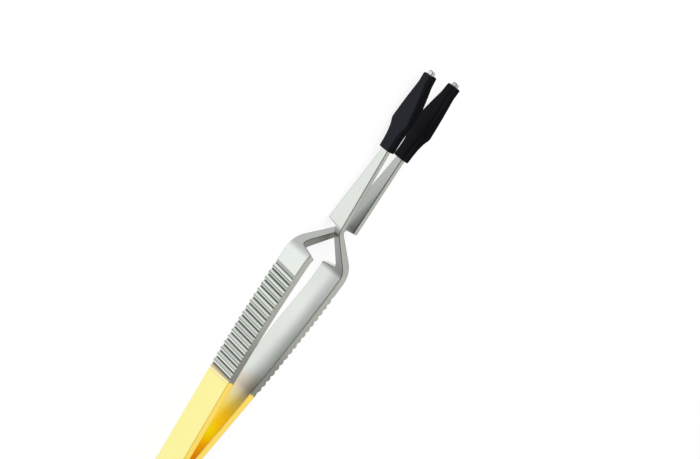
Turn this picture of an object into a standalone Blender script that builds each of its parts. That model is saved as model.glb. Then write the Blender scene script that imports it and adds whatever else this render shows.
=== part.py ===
"""Cross-lock bead tweezers: two crossed spring strips, spot-welded at the tail, with rubber tip boots.

The part lies on the lower edges of its strips: +X runs along the length to the tips, +Z is up across the
strips' width, and the origin is under the middle of the length. Strip A has its grip at +Y and its jaw at
-Y. Strip B is the same strip turned over by half a turn about the length, so every shape is drawn once.
"""

import math

import bmesh
import bpy
from mathutils import Matrix, Vector

MM = 0.001

# Strip stock
OVERALL_LENGTH = 155.7 * MM
STRIP_WIDTH = 10.0 * MM
STRIP_THICK = 2.3 * MM
TAIL_CORNER_RADIUS = 2.0 * MM
SEAM_GAP = 0.3 * MM
SPLIT_GAP = 0.3 * MM

# Plan path of a strip, from the tail to the jaw
SEAM_LENGTH = 13.8 * MM
ROOT_RADIUS = 80.0 * MM
SPREAD_ANGLE = math.radians(6.9)
HINGE_FROM_TAIL = 19.0 * MM
PLATED_LENGTH = 49.3 * MM
GRIP_BOW_LENGTH = 40.5 * MM
GRIP_END_ANGLE = math.radians(1.5)
SHOULDER_BEND_RADIUS = 7.0 * MM
NECK_ANGLE = math.radians(-49.0)
NECK_LENGTH = 9.14 * MM
JAW_BEND_RADIUS = 3.5 * MM
JAW_ANGLE = math.radians(-1.9)

# Ribs across the outer face of the grip
RIB_COUNT = 17
RIB_PITCH = 2.0 * MM
RIB_FIRST = 2.14 * MM
RIB_CREST = 0.9 * MM
RIB_GROOVE = 0.45 * MM
RIB_RISE = 0.25 * MM
RIB_SINK = 0.3 * MM

# Notch at the crossing, and the taper of the jaw
GRIP_LENGTH = 42.9 * MM
NOTCH_LENGTH = 11.7 * MM
NECK_CLEARANCE = 1.0 * MM
SHOULDER_SWEEP = math.radians(10.0)
MOUTH_SWEEP = math.radians(8.0)
NOTCH_FILLET = 0.8 * MM
JAW_COLLAR_WIDTH = 2.75 * MM
JAW_TIP_WIDTH = 1.9 * MM
JAW_ROOT_THICK = 1.55 * MM
JAW_TIP_THICK = 1.35 * MM
JAW_TIP_RADIUS = 0.5 * MM

# Rubber boot on the end of the jaw
BOOT_LENGTH = 25.8 * MM
BOOT_BARE_TIP = 1.1 * MM
BOOT_CLEARANCE = 0.25 * MM
BOOT_SLEEVE_WALL = 0.38 * MM
BOOT_TIP_FACE_WALL = 0.65 * MM
BOOT_TIP_EDGE_WALL = 0.3 * MM
BOOT_SLEEVE_LENGTH = 6.0 * MM
BOOT_FLARE_LENGTH = 3.3 * MM
BOOT_OUTER_WIDTH = 7.7 * MM
BOOT_INNER_WIDTH = 5.8 * MM
BOOT_EDGE_RADIUS = 0.35 * MM

# Spot welds in the seam
WELD_COUNT = 2
WELD_DIAMETER = 3.0 * MM
WELD_DEPTH = 0.35 * MM
WELD_CLEARANCE = 0.25 * MM
WELD_FIRST = 3.2 * MM
WELD_PITCH = 4.6 * MM

# Fineness of arcs, and how far a cutter reaches past what it cuts
ARC_STEP = math.radians(4.0)
ARC_LEAST_STEPS = 6
FLARE_STEPS = 5
WELD_SIDES = 24
MARGIN = 2.0 * MM

HALF_WIDTH = STRIP_WIDTH / 2
HALF_THICK = STRIP_THICK / 2
HALF_TURN = (math.pi, 0.0, 0.0)
ON_EDGE = (math.pi / 2, 0.0, 0.0)


class Path:
    """Mid-plane of a strip seen from above: straight runs and arcs laid end to end from the tail."""

    def __init__(self, start):
        self.end = Vector(start)
        self.heading = 0.0
        self.length = 0.0
        self.segments = []

    def add(self, length, turn=0.0):
        self.segments.append((self.length, length, turn, self.end, self.heading))
        self.length += length
        self.end, self.heading = self.at(self.length)

    def arc_to(self, heading, radius):
        turn = heading - self.heading
        self.add(abs(turn) * radius, turn)

    def at(self, s):
        """Point and heading at the developed length s."""
        first, length, turn, start, heading = [seg for seg in self.segments if seg[0] <= s][-1]
        run = s - first
        half_bend = turn * run / length / 2
        chord = run * math.sin(half_bend) / half_bend if half_bend else run
        middle = heading + half_bend
        return start + chord * Vector((math.cos(middle), math.sin(middle))), heading + 2 * half_bend

    def beside(self, s, offset):
        """Point at a distance to the left of the path."""
        point, heading = self.at(s)
        return point + offset * Vector((-math.sin(heading), math.cos(heading)))

    def stations(self, first, last):
        """Developed lengths from first to last that the bends need."""
        marks = {first, last}
        for begin, length, turn, _, _ in self.segments:
            steps = max(ARC_LEAST_STEPS, math.ceil(abs(turn) / ARC_STEP)) if turn else 1
            marks.update(begin + length * k / steps for k in range(steps + 1))
        return sorted(s for s in marks if first <= s <= last)


def strip_path():
    path = Path((0.0, SEAM_GAP / 2 + HALF_THICK))
    path.add(SEAM_LENGTH)
    path.arc_to(SPREAD_ANGLE, ROOT_RADIUS)
    path.add(PLATED_LENGTH - path.length)
    path.add(GRIP_BOW_LENGTH, GRIP_END_ANGLE - SPREAD_ANGLE)
    path.arc_to(NECK_ANGLE, SHOULDER_BEND_RADIUS)
    path.add(NECK_LENGTH)
    path.arc_to(JAW_ANGLE, JAW_BEND_RADIUS)
    path.add((OVERALL_LENGTH - path.end.x) / math.cos(JAW_ANGLE) + MARGIN)
    return path


# Developed lengths of the places that other sizes refer to
PATH = strip_path()
JAW_TIP = PATH.length - MARGIN
BOOT_REAR = JAW_TIP - BOOT_BARE_TIP - BOOT_LENGTH
JAW_ROOT = PATH.segments[-1][0]
NECK_START = PATH.segments[5][0]
TAPER_START = PLATED_LENGTH + GRIP_BOW_LENGTH + PATH.segments[4][1] / 2


def strip_thick(s):
    """Thickness of the strip: even up to the neck, which thins to the jaw's root, as the jaw does to its tip."""
    if s < JAW_ROOT:
        share = max(0.0, (s - NECK_START) / (JAW_ROOT - NECK_START))
        return STRIP_THICK + (JAW_ROOT_THICK - STRIP_THICK) * share
    share = (s - JAW_ROOT) / (JAW_TIP - JAW_ROOT)
    return JAW_ROOT_THICK + (JAW_TIP_THICK - JAW_ROOT_THICK) * share


def blade_width(s):
    """Width of the blade inside the boot."""
    share = (s - BOOT_REAR) / (JAW_TIP - BOOT_REAR)
    return JAW_COLLAR_WIDTH + (JAW_TIP_WIDTH - JAW_COLLAR_WIDTH) * share


def fillet(before, corner, after, radius, steps=5):
    """Points of the arc that rounds a corner of an outline."""
    corner = Vector(corner)
    back = (Vector(before) - corner).normalized()
    ahead = (Vector(after) - corner).normalized()
    half = back.angle(ahead) / 2
    centre = corner + (back + ahead).normalized() * (radius / math.sin(half))
    first = corner + back * (radius / math.tan(half)) - centre
    last = corner + ahead * (radius / math.tan(half)) - centre
    swing = math.atan2(first.cross(last), first.dot(last))
    return [centre + Matrix.Rotation(swing * k / steps, 2) @ first for k in range(steps + 1)]


def rib_marks():
    """Developed length and height of each corner of the ribs: raised crests between sunk grooves."""
    marks = []
    for index in range(RIB_COUNT):
        centre = PLATED_LENGTH + RIB_FIRST + index * RIB_PITCH
        foot = (RIB_PITCH - RIB_GROOVE) / 2
        marks += [(centre - foot, -RIB_SINK), (centre - RIB_CREST / 2, RIB_RISE),
                  (centre + RIB_CREST / 2, RIB_RISE), (centre + foot, -RIB_SINK)]
    ramp = (RIB_PITCH - RIB_GROOVE - RIB_CREST) / 2
    return marks + [(marks[-1][0] + RIB_GROOVE, -RIB_SINK), (marks[-1][0] + RIB_GROOVE + ramp, 0.0)]


def strip_outline(first, last, ribs=()):
    """Plan outline of a stretch of strip, with ribs on its outer face where it has them."""
    plain = PATH.stations(first, last)
    outer = [(s, 0.0) for s in plain if not ribs or not ribs[0][0] <= s <= ribs[-1][0]]
    left = [PATH.beside(s, strip_thick(s) / 2 + height) for s, height in sorted(outer + list(ribs))]
    right = [PATH.beside(s, -strip_thick(s) / 2) for s in reversed(plain)]
    return left + right


def tail_side_outline():
    """Side view of the tail leaf: the rounded end, open towards the spring."""
    above, far = HALF_WIDTH + MARGIN, HINGE_FROM_TAIL + MARGIN
    high, low = (0.0, HALF_WIDTH), (0.0, -HALF_WIDTH)
    return [
        (far, -above),
        (far, above),
        (TAIL_CORNER_RADIUS, above),
        *fillet((far, HALF_WIDTH), high, low, TAIL_CORNER_RADIUS),
        *fillet(high, low, (far, -HALF_WIDTH), TAIL_CORNER_RADIUS),
        (TAIL_CORNER_RADIUS, -above),
    ]


def grip_side_outline():
    """Side view of grip, neck and jaw: a notch in the upper edge, and a blade that tapers to the tip.

    Both edges of the blade taper at one rate along the strip, and the lower one starts at the shoulder bend.
    """
    above = HALF_WIDTH + MARGIN
    collar_half, tip_half = JAW_COLLAR_WIDTH / 2, JAW_TIP_WIDTH / 2
    rate = (HALF_WIDTH - collar_half) / (BOOT_REAR - TAPER_START)
    root_half = collar_half + rate * (BOOT_REAR - JAW_ROOT)
    taper_x, root_x, collar_x = (PATH.at(s)[0].x for s in (TAPER_START, JAW_ROOT, BOOT_REAR))

    sweep, mouth_sweep = math.tan(SHOULDER_SWEEP), math.tan(MOUTH_SWEEP)
    shoulder_x = PATH.at(PLATED_LENGTH)[0].x + GRIP_LENGTH
    mouth_x = shoulder_x + NOTCH_LENGTH
    mouth_half = collar_half + (root_half - collar_half) * (collar_x - mouth_x) / (collar_x - root_x)
    shoulder = (shoulder_x - sweep * MARGIN, above)
    rear = (shoulder_x + sweep * (HALF_WIDTH + NECK_CLEARANCE), -NECK_CLEARANCE)
    front = (mouth_x - mouth_sweep * (mouth_half + NECK_CLEARANCE), -NECK_CLEARANCE)
    mouth = (mouth_x, mouth_half)

    collar_top, collar_low = (collar_x, collar_half), (collar_x, -collar_half)
    tip_top, tip_low = (OVERALL_LENGTH, tip_half), (OVERALL_LENGTH, -tip_half)
    lead = MARGIN * (root_x - taper_x) / (HALF_WIDTH - root_half)
    return [
        (0.0, -above),
        (0.0, above),
        shoulder,
        *fillet(shoulder, rear, front, NOTCH_FILLET),
        *fillet(rear, front, mouth, NOTCH_FILLET),
        mouth,
        collar_top,
        *fillet(collar_top, tip_top, tip_low, JAW_TIP_RADIUS),
        *fillet(tip_top, tip_low, collar_low, JAW_TIP_RADIUS),
        collar_low,
        (root_x, -root_half),
        (taper_x - lead, -above),
    ]


def boot_sections():
    """Distance from the rear, outer width, inner width and thickness of each section of a boot."""
    sleeve = 2 * (BOOT_CLEARANCE + BOOT_SLEEVE_WALL)
    sleeve_width, sleeve_thick = JAW_COLLAR_WIDTH + sleeve, strip_thick(BOOT_REAR) + sleeve
    front = BOOT_REAR + BOOT_LENGTH
    tip_width = blade_width(front) + 2 * (BOOT_CLEARANCE + BOOT_TIP_EDGE_WALL)
    tip_thick = strip_thick(front) + 2 * (BOOT_CLEARANCE + BOOT_TIP_FACE_WALL)

    def section(along, outer, inner):
        return along, outer, inner, sleeve_thick + (tip_thick - sleeve_thick) * along / BOOT_LENGTH

    sections = [section(0.0, sleeve_width, sleeve_width)]
    for step in range(FLARE_STEPS + 1):
        share = step / FLARE_STEPS
        sections.append(section(BOOT_SLEEVE_LENGTH + BOOT_FLARE_LENGTH * share,
                                sleeve_width + (BOOT_OUTER_WIDTH - sleeve_width) * share ** 2,
                                sleeve_width + (BOOT_INNER_WIDTH - sleeve_width) * share ** 2))
    return sections + [section(BOOT_LENGTH, tip_width, tip_width)]


def bore_sections():
    """The same for the bore in a boot: the blade with the clearance round it, past both ends."""
    sections = []
    for along in (-MARGIN, BOOT_LENGTH + MARGIN):
        width = blade_width(BOOT_REAR + along) + 2 * BOOT_CLEARANCE
        sections.append((along, width, width, strip_thick(BOOT_REAR + along) + 2 * BOOT_CLEARANCE))
    return sections


def new_mesh(name, work):
    bmesh.ops.recalc_face_normals(work, faces=work.faces)
    mesh = bpy.data.meshes.new(name)
    work.to_mesh(mesh)
    work.free()
    return mesh


def prism(name, outline, half_depth):
    """Solid of a flat outline, extruded to both sides of its plane."""
    curve = bpy.data.curves.new(name, "CURVE")
    curve.dimensions = "2D"
    curve.fill_mode = "BOTH"
    curve.extrude = half_depth
    spline = curve.splines.new("POLY")
    spline.points.add(len(outline) - 1)
    for point, (x, y) in zip(spline.points, outline):
        point.co = (x, y, 0.0, 1.0)
    spline.use_cyclic_u = True
    drawn = bpy.data.objects.new(name, curve)
    bpy.context.scene.collection.objects.link(drawn)
    filled = bpy.data.meshes.new_from_object(drawn.evaluated_get(bpy.context.evaluated_depsgraph_get()))
    bpy.data.objects.remove(drawn)
    work = bmesh.new()
    work.from_mesh(filled)
    bpy.data.meshes.remove(filled)
    bmesh.ops.remove_doubles(work, verts=work.verts, dist=1e-7)
    return new_mesh(name, work)


def disc(name, radius, half_height):
    """Round disc with its axis along Y."""
    work = bmesh.new()
    bmesh.ops.create_cone(work, cap_ends=True, segments=WELD_SIDES, radius1=radius, radius2=radius,
                          depth=2 * half_height, matrix=Matrix.Rotation(math.pi / 2, 4, "X"))
    return new_mesh(name, work)


def loft(name, sections):
    """Solid through four-sided sections whose outer face, away from the other jaw, is the wider one."""
    work = bmesh.new()
    rings = []
    for along, outer, inner, thick in sections:
        corners = ((-thick, -outer), (-thick, outer), (thick, inner), (thick, -inner))
        rings.append([work.verts.new((along, across / 2, up / 2)) for across, up in corners])
    for ring, following in zip(rings, rings[1:]):
        for k in range(4):
            work.faces.new((ring[k - 1], ring[k], following[k], following[k - 1]))
    work.faces.new(rings[0])
    work.faces.new(rings[-1])
    return new_mesh(name, work)


def collection(name):
    group = bpy.data.collections.new(name)
    bpy.context.scene.collection.children.link(group)
    return group


def finish(name, colour, roughness, metallic):
    material = bpy.data.materials.new(name)
    material.use_nodes = True
    shader = material.node_tree.nodes["Principled BSDF"]
    shader.inputs["Base Color"].default_value = (*colour, 1.0)
    shader.inputs["Roughness"].default_value = roughness
    shader.inputs["Metallic"].default_value = metallic
    return material


def place(group, name, mesh, parent, location=(0.0, 0.0, 0.0), turn=(0.0, 0.0, 0.0), material=None):
    item = bpy.data.objects.new(name, mesh)
    group.objects.link(item)
    item.parent = parent
    item.location = location
    item.rotation_euler = turn
    if material and not mesh.materials:
        mesh.materials.append(material)
    return item


def cut(item, tool, operation="DIFFERENCE"):
    tool.hide_render = True
    tool.display_type = "WIRE"
    modifier = item.modifiers.new(tool.name, "BOOLEAN")
    modifier.operation = operation
    modifier.object = tool


def build():
    for item in list(bpy.data.objects):
        bpy.data.objects.remove(item)
    parts = collection("bead_tweezers")
    cutters = collection("bead_tweezers_cutters")

    gold = finish("gold_plate", (0.95, 0.78, 0.30), 0.22, 1.0)
    steel = finish("spring_steel", (0.74, 0.75, 0.73), 0.28, 1.0)
    rubber = finish("black_rubber", (0.018, 0.018, 0.024), 0.55, 0.0)
    weld = finish("weld_metal", (0.55, 0.55, 0.53), 0.45, 1.0)

    hinge = PATH.at(HINGE_FROM_TAIL)[0].to_3d()
    tail_mesh = prism("tail_leaf", strip_outline(0.0, HINGE_FROM_TAIL - SPLIT_GAP / 2), HALF_WIDTH)
    tail_side = prism("tail_side", tail_side_outline(), STRIP_WIDTH)
    leaf_mesh = prism("spring_leaf", strip_outline(HINGE_FROM_TAIL + SPLIT_GAP / 2,
                                                   PLATED_LENGTH - SPLIT_GAP / 2), HALF_WIDTH)
    grip_mesh = prism("grip_jaw", strip_outline(PLATED_LENGTH + SPLIT_GAP / 2, PATH.length,
                                                rib_marks()), HALF_WIDTH)
    grip_side = prism("grip_side", grip_side_outline(), OVERALL_LENGTH)
    boot_mesh = loft("tip_boot", boot_sections())
    bore_mesh = loft("boot_bore", bore_sections())
    weld_half = SEAM_GAP / 2 + WELD_DEPTH
    nugget_mesh = disc("weld_nugget", WELD_DIAMETER / 2, weld_half)
    pocket_mesh = disc("weld_pocket", WELD_DIAMETER / 2 + WELD_CLEARANCE, weld_half + WELD_CLEARANCE)
    weld_places = [(WELD_FIRST + k * WELD_PITCH, 0.0, 0.0) for k in range(WELD_COUNT)]

    centre = Vector((-OVERALL_LENGTH / 2, 0.0, HALF_WIDTH))
    tail = place(parts, "tail", None, None, centre)
    for number, spot in enumerate(weld_places, 1):
        place(parts, f"weld_nugget_{number}", nugget_mesh, tail, spot, material=weld)

    for side, turn in (("a", (0.0, 0.0, 0.0)), ("b", HALF_TURN)):
        strip = place(parts, f"strip_{side}", None, tail, turn=turn)
        tail_leaf = place(parts, f"tail_leaf_{side}", tail_mesh, strip, material=gold)
        cut(tail_leaf, place(cutters, f"tail_side_{side}", tail_side, strip, turn=ON_EDGE), "INTERSECT")
        for number, spot in enumerate(weld_places, 1):
            cut(tail_leaf, place(cutters, f"weld_pocket_{number}_{side}", pocket_mesh, strip, spot))

        arm = place(parts, f"arm_{side}", None, strip, hinge)
        place(parts, f"spring_leaf_{side}", leaf_mesh, arm, -hinge, material=gold)
        grip = place(parts, f"grip_jaw_{side}", grip_mesh, arm, -hinge, material=steel)
        cut(grip, place(cutters, f"grip_side_{side}", grip_side, arm, -hinge, ON_EDGE), "INTERSECT")

        seat = PATH.at(BOOT_REAR)[0].to_3d() - hinge
        along_jaw = (0.0, 0.0, JAW_ANGLE)
        boot = place(parts, f"tip_boot_{side}", boot_mesh, arm, seat, along_jaw, rubber)
        bevel = boot.modifiers.new("round_edges", "BEVEL")
        bevel.width = BOOT_EDGE_RADIUS
        bevel.segments = 2
        cut(boot, place(cutters, f"boot_bore_{side}", bore_mesh, arm, seat, along_jaw))


build()
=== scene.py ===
"""Cross-lock bead tweezers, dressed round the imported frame.

Each strip starts as a flat blank, with its developed length along X, its thickness along Y and its width
along Z. One Geometry Nodes tree presses the ribs into it, twists its grip and bends it along its path. The
tweezers lie on the strips' lower edges, with the tips at +X and the grip of strip A at +Y.
"""

import math

import bmesh
import bpy
import numpy as np
from mathutils import Matrix, Vector


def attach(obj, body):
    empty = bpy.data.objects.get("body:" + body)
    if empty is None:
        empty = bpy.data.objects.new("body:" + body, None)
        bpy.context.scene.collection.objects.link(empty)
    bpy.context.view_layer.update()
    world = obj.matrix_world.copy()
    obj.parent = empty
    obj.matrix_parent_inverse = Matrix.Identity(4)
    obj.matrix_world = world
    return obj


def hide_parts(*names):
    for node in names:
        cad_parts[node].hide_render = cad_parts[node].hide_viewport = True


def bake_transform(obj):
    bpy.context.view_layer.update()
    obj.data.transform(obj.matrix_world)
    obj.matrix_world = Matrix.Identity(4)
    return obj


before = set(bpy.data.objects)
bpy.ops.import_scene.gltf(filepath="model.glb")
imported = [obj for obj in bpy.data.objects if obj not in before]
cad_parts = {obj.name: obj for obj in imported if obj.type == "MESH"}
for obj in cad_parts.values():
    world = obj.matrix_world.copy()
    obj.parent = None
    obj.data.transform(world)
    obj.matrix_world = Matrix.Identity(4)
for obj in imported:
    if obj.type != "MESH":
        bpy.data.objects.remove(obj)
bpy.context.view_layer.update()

MM = 0.001
CENTIMETRE = 0.01
TOUCH = 1e-7

# Strip stock
OVERALL_LENGTH = 155.7 * MM
STRIP_WIDTH = 10.0 * MM
HALF_WIDTH = STRIP_WIDTH / 2
STRIP_THICK = 2.3 * MM
TAIL_CORNER_RADIUS = 2.0 * MM
EDGE_RADIUS = 0.24 * MM
SHARP_ANGLE = math.radians(50)

# Path of a strip seen from above
SEAM_LENGTH = 13.8 * MM
SEAM_GAP = 0.3 * MM
ROOT_RADIUS = 80.0 * MM
SPREAD_ANGLE = math.radians(6.9)
PLATED_LENGTH = 49.3 * MM
GRIP_BOW_LENGTH = 40.5 * MM
GRIP_END_ANGLE = math.radians(1.5)
SHOULDER_BEND_RADIUS = 7.0 * MM
NECK_ANGLE = math.radians(-49.0)
NECK_LENGTH = 9.14 * MM
JAW_BEND_RADIUS = 3.5 * MM
JAW_ANGLE = math.radians(-1.9)
TRACK_STEP = 0.02 * MM
PATH_STEP = 0.2 * MM
PATH_SPARE = 2 * MM

# What sets strip B apart: its jaw leans outwards and is shorter, and a twist draws its grip's edge inwards
JAW_LEAN = {"a": 0.0, "b": math.radians(5.0)}
LEAN_RADIUS = 60.0 * MM
LEAN_LEAD = 2.0 * MM
JAW_SHORT = {"a": 0.0, "b": 0.7 * MM}
GRIP_TWIST = {"a": 0.0, "b": 0.064}
TWIST_PLACE = PLATED_LENGTH + 19 * MM
TWIST_REACH = 19 * MM

# Ribs, slightly askew, each from one groove to the next
RIB_COUNT = 17
RIB_PITCH = 2.0 * MM
RIB_SKEW = 0.068
RIB_RAMP = 1.14 * MM
FIRST_GROOVE = PLATED_LENGTH + RIB_RAMP
RIBS_END = FIRST_GROOVE + RIB_COUNT * RIB_PITCH
RIB_RISE = 0.25 * MM
RIB_SINK = 0.3 * MM
RIB_PROFILE = ((0.0, 0.0), (0.06, 0.05), (0.14, 0.42), (0.24, 0.74), (0.40, 0.94), (0.54, 1.0),
               (0.62, 0.96), (0.74, 0.66), (0.86, 0.26), (0.94, 0.04), (1.0, 0.0))

# Notch, neck and jaw
GRIP_LENGTH = 42.9 * MM
NOTCH_LENGTH = 11.7 * MM
NECK_CLEARANCE = 1.0 * MM
SHOULDER_SWEEP = math.radians(10.0)
MOUTH_SWEEP = math.radians(8.0)
NOTCH_FILLET = 0.8 * MM
JAW_COLLAR_WIDTH = 2.75 * MM
JAW_TIP_WIDTH = 1.9 * MM
JAW_ROOT_THICK = 1.55 * MM
JAW_TIP_THICK = 1.35 * MM
JAW_TIP_RADIUS = 0.5 * MM

# Grid of the flat blank: room beside edges for their rounding, stretches with finer columns, and rows
EDGE_ROOM = 0.6 * MM
NOTCH_ROOM = 0.36 * MM
ROOM_LIMIT = 0.42
FLEX_END = 24 * MM
CORNER_STRETCH = 1.4 * MM
MOUTH_MARGIN = 2 * MM
MOUTH_FADE = 5 * MM
MOUTH_STRETCH = 6 * MM
TIP_STRETCH = 1.2 * MM
RIB_COLUMNS = 18
LOW_ROWS, HIGH_ROWS = 7, 11
EDGE_PASSES = 4

# Marks on a blank's points: which face they belong to, how sharply that falls off, and how strong the
# painted shade on the rims is
FACE_MARKS = ("outer_face", "inner_face", "rim")
FACE_FALLOFF = 4
RIM_GAIN = 5

# Tail: spot welds, and the seam drawn shut
WELD_PLACES = (3.2 * MM, 7.8 * MM)
WELD_DIMPLE_RADIUS = 1.55 * MM
WELD_DIMPLE_DEPTH = 0.16 * MM
WELD_DIMPLE_ROUND = 1.2
SEAM_LINE = 0.04 * MM
SEAM_FADE_PAST = 3 * MM
SEAM_FADE = 4 * MM

# Rubber boot: sizes at places along it, from the collar to the tip
BOOT_LENGTH = 25.8 * MM
BOOT_BARE_TIP = 1.1 * MM
BOOT_PLACES = np.array((0.0, 2.6, 4.8, 7.2, 9.3, 15.0, 18.6, 22.6, 25.8)) * MM
BOOT_OUTER_WIDTHS = np.array((4.35, 4.4, 4.7, 5.7, 7.8, 5.95, 4.75, 3.15, 3.2)) * MM
BOOT_INNER_WIDTHS = np.array((4.35, 4.35, 4.5, 5.0, 5.8, 5.85, 4.6, 3.05, 2.9)) * MM
BOOT_OUTER_WALLS = np.array((0.76, 0.76, 0.75, 0.75, 0.74, 0.77, 0.8, 0.88, 0.88)) * MM
BOOT_INNER_WALLS = np.array((0.76, 0.78, 0.83, 0.9, 1.05, 1.22, 1.2, 1.08, 0.98)) * MM
BOOT_SIDE_HOLLOWS = np.array((0.1, 0.15, 0.25, 0.45, 0.6, 0.5, 0.4, 0.25, 0.15)) * MM
BOOT_HOLLOW_BIAS = 0.7
BOOT_EDGE_RADIUS = 0.4 * MM
BOOT_LEAST_RADIUS = 0.1 * MM
BOOT_LIP_RADIUS = 0.45 * MM
BOOT_LIP_ANGLES = np.radians((8, 28, 48, 68, 90))
BOOT_LIP_ROOM = 1.4 * BOOT_LIP_RADIUS
BOOT_GRIP = 0.03 * MM
BOOT_SAMPLES, BOOT_EASING = 400, 31
BOOT_RINGS, BORE_RINGS = 60, 20
RING_ARC_STEPS, RING_SIDE_POINTS = 6, 13
# Where the mark for the painted light of the broad outer face starts and how soon it is full
LIT_FACE_FROM, LIT_FACE_REACH = 0.6, 0.35


class Track:
    """Mid-plane of a strip seen from above, read at a developed length s or a distance x from the tail."""

    def __init__(self, lean=0.0, short=0.0):
        self.end = OVERALL_LENGTH - short
        self.boot = BOOT_LENGTH - short
        grip = PLATED_LENGTH - SEAM_LENGTH - ROOT_RADIUS * SPREAD_ANGLE
        runs = [(SEAM_LENGTH, 0.0), (ROOT_RADIUS * SPREAD_ANGLE, SPREAD_ANGLE), (grip, 0.0),
                (GRIP_BOW_LENGTH, GRIP_END_ANGLE - SPREAD_ANGLE),
                (SHOULDER_BEND_RADIUS * (GRIP_END_ANGLE - NECK_ANGLE), NECK_ANGLE - GRIP_END_ANGLE),
                (NECK_LENGTH, 0.0),
                (JAW_BEND_RADIUS * (JAW_ANGLE - NECK_ANGLE), JAW_ANGLE - NECK_ANGLE)]
        self.neck = sum(length for length, _ in runs[:5])
        self.root = sum(length for length, _ in runs)
        self.taper = PLATED_LENGTH + GRIP_BOW_LENGTH + runs[4][0] / 2
        self.lay(runs + [(OVERALL_LENGTH, 0.0)])
        self.tip = self.length_at(self.end)
        self.collar = self.tip - BOOT_BARE_TIP - self.boot
        if lean:
            straight = self.collar - LEAN_LEAD - self.root
            self.lay(runs + [(straight, 0.0), (LEAN_RADIUS * lean, -lean), (OVERALL_LENGTH, 0.0)])

    def lay(self, runs):
        """Lays out runs of a length and a turn, one after the other."""
        marks = np.cumsum([0.0] + [length for length, _ in runs])
        turns = np.cumsum([0.0] + [turn for _, turn in runs])
        self.s = np.arange(0.0, marks[-1], TRACK_STEP)
        self.heading = np.interp(self.s, marks, turns)
        middle = (self.heading[1:] + self.heading[:-1]) / 2
        start = SEAM_GAP / 2 + STRIP_THICK / 2
        self.x = np.concatenate(([0.0], np.cumsum(np.cos(middle) * TRACK_STEP)))
        self.y = np.concatenate(([start], start + np.cumsum(np.sin(middle) * TRACK_STEP)))

    def length_at(self, x):
        return np.interp(x, self.x, self.s)

    def x_at(self, s):
        return float(np.interp(s, self.s, self.x))

    def beside(self, s, across, up):
        """Points at a distance to the left of the path and a height above its middle."""
        heading = np.interp(s, self.s, self.heading)
        return np.stack([np.interp(s, self.s, self.x) - across * np.sin(heading),
                         np.interp(s, self.s, self.y) + across * np.cos(heading),
                         up + 0.0 * s], axis=-1)

    def thick(self, s):
        return np.interp(s, (self.neck, self.root, self.tip), (STRIP_THICK, JAW_ROOT_THICK, JAW_TIP_THICK))

    def blade_width(self, s):
        share = (s - self.collar) / (self.tip - self.collar)
        return JAW_COLLAR_WIDTH + (JAW_TIP_WIDTH - JAW_COLLAR_WIDTH) * share


def clamped(share):
    return min(1.0, max(0.0, share))


def grey(level):
    return level, level, level, 1.0


class Wire:
    """A node's output, whose sums and products are written as expressions."""

    def __init__(self, nodes, socket):
        self.nodes, self.socket = nodes, socket

    def out(self, name):
        return Wire(self.nodes, self.socket.node.outputs[name])

    def math(self, operation, *others):
        return self.nodes.maths(operation, self, *others)

    def __add__(self, other):
        return self.nodes.maths("ADD", self, other)

    def __sub__(self, other):
        return self.nodes.maths("SUBTRACT", self, other)

    def __rsub__(self, other):
        return self.nodes.maths("SUBTRACT", other, self)

    def __mul__(self, other):
        return self.nodes.maths("MULTIPLY", self, other)

    def __truediv__(self, other):
        return self.nodes.maths("DIVIDE", self, other)

    def __rtruediv__(self, other):
        return self.nodes.maths("DIVIDE", other, self)

    __radd__, __rmul__ = __add__, __mul__

    def clamp(self, low=0.0, high=1.0):
        return self.math("MAXIMUM", low).math("MINIMUM", high)

    def smooth(self):
        return self * self * (3.0 - 2.0 * self)


class Nodes:
    """A node tree that is written node by node."""

    def __init__(self, tree):
        self.tree = tree

    def add(self, kind, settings=(), sockets=(), out=0):
        node = self.tree.nodes.new(kind)
        for name, value in dict(settings).items():
            if name == "stops":
                self.set_ramp(node.color_ramp.elements, value)
            elif name == "curve":
                self.set_curve(node.mapping, value)
            else:
                setattr(node, name, value)
        for key, value in dict(sockets).items():
            self.join(value, node.inputs[key])
        return Wire(self, node.outputs[out]) if node.outputs else node

    def join(self, value, socket):
        if isinstance(value, Wire):
            self.tree.links.new(value.socket, socket)
        else:
            socket.default_value = value

    def maths(self, operation, *values):
        return self.add("ShaderNodeMath", {"operation": operation}, enumerate(values))

    def vectors(self, operation, *values, out=0):
        return self.add("ShaderNodeVectorMath", {"operation": operation}, enumerate(values), out)

    def ramped(self, value, stops):
        """Colour or level read from stops along a ramp."""
        return self.add("ShaderNodeValToRGB", {"stops": stops}, {0: value})

    def blend(self, share, first, second):
        """Colour between two colours."""
        return self.add("ShaderNodeMix", {"data_type": "RGBA"}, {0: share, 6: first, 7: second}, out=2)

    def tinted(self, tone, factor):
        """Colour with each channel multiplied."""
        return self.add("ShaderNodeMix", {"data_type": "RGBA", "blend_type": "MULTIPLY"},
                        {0: 1.0, 6: tone, 7: factor}, out=2)

    def stretched(self, place, scale):
        return self.add("ShaderNodeMapping", (), {"Vector": place, "Scale": scale})

    def mottle(self, place, scale, detail):
        return self.add("ShaderNodeTexNoise", (), {"Vector": place, "Scale": scale, "Detail": detail})

    def mark(self, name):
        return self.add("ShaderNodeAttribute", {"attribute_name": name}, out="Fac")

    def bump(self, height, strength, depth):
        return self.add("ShaderNodeBump", (), {"Strength": strength, "Distance": depth, "Height": height})

    @staticmethod
    def set_ramp(elements, stops):
        while len(elements) < len(stops):
            elements.new(1.0)
        for element, (place, value) in zip(elements, stops):
            element.position = place
            element.color = value if isinstance(value, tuple) else grey(value)

    @staticmethod
    def set_curve(mapping, points):
        line = mapping.curves[0]
        line.points[0].location, line.points[-1].location = points[0], points[-1]
        for x, y in points[1:-1]:
            line.points.new(x, y)
        mapping.update()


# Finishes

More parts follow.
